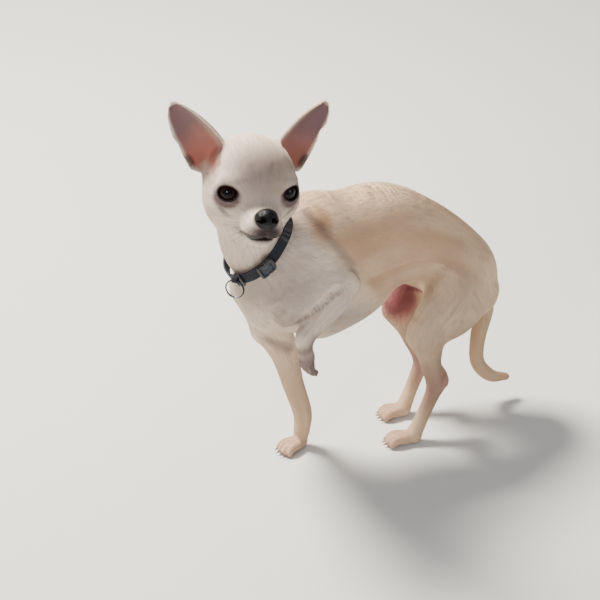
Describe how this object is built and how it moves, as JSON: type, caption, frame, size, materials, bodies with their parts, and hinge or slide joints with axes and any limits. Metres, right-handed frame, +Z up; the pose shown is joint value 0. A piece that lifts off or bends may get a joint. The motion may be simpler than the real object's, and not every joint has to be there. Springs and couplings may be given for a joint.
{
  "type": "chihuahua",
  "caption": "Life-size still model of a short-coated cream chihuahua wearing a dark collar, standing with one forepaw raised and its head turned aside.",
  "frame": {"origin": "middle of the outline seen from above, at the level of the floor under the paws", "axes": "+Z up, -X along the body towards the front, +Y across to the dog's right"},
  "size_m": [0.2908, 0.1172, 0.3164],
  "materials": {
    "head": "matte",
    "neck": "matte",
    "torso": "matte",
    "tail": "matte",
    "foreleg_left": "matte",
    "foreleg_right": "matte",
    "hindleg_left": "matte",
    "hindleg_right": "matte",
    "ear_left": "matte",
    "ear_right": "matte",
    "eye_left": "gloss",
    "eye_right": "gloss",
    "nose": "satin",
    "collar_band": "matte",
    "collar_buckle": "satin",
    "collar_slide": "satin",
    "collar_ring": "polished"
  },
  "bodies": {
    "root": {"head": "head", "neck": "neck", "torso": "torso", "tail": "tail", "foreleg_left": "foreleg_left", "foreleg_right": "foreleg_right", "hindleg_left": "hindleg_left", "hindleg_right": "hindleg_right", "ear_left": "ear_left", "ear_right": "ear_right", "eye_left": "eye_left", "eye_right": "eye_right", "nose": "nose", "collar_band": "collar_band", "collar_buckle": "collar_buckle", "collar_slide": "collar_slide", "collar_ring": "collar_ring"}
  },
  "joints": []
}
